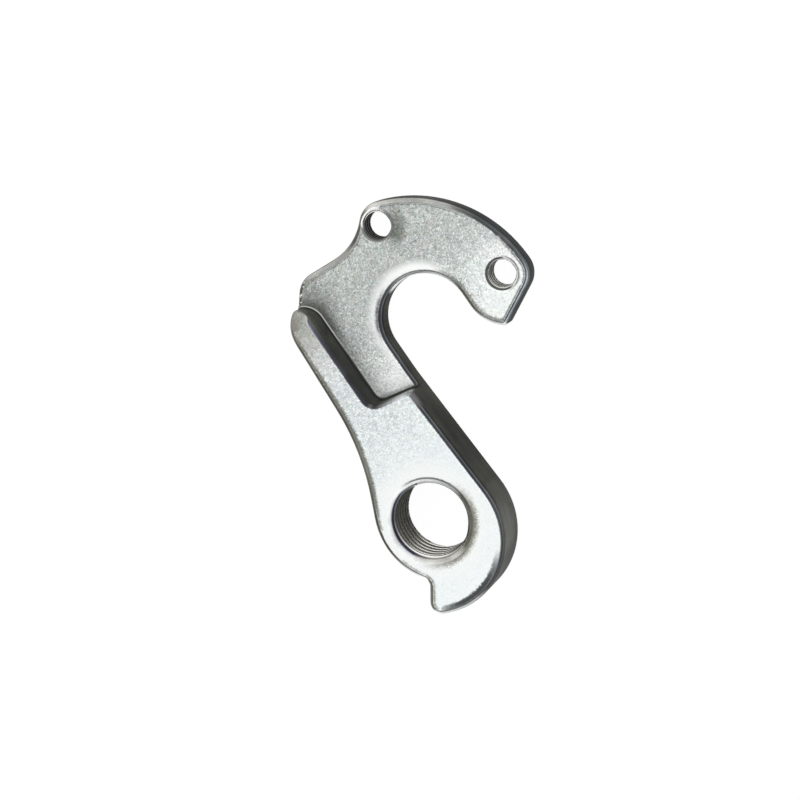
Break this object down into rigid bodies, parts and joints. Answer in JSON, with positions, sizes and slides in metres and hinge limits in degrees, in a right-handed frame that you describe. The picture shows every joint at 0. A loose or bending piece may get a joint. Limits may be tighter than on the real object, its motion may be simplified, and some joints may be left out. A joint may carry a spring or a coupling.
{
  "type": "bicycle derailleur hanger",
  "caption": "Flat metal hanger for a bicycle frame, with a threaded hole for the rear derailleur, an open slot for the axle and threaded holes for frame screws.",
  "frame": {"origin": "on the axis of the derailleur thread, half way through the thick arm", "axes": "+Z along the derailleur thread, out of the outer face that the picture shows; +Y along the arm, from the derailleur thread to the shoulder; +X towards the hook, and the slot opens towards -Y"},
  "size_m": [0.0333, 0.0457, 0.0066],
  "materials": {
    "machined_aluminium": "bare, finely blasted, satin"
  },
  "bodies": {
    "root": {"hanger": "machined_aluminium"}
  },
  "joints": []
}
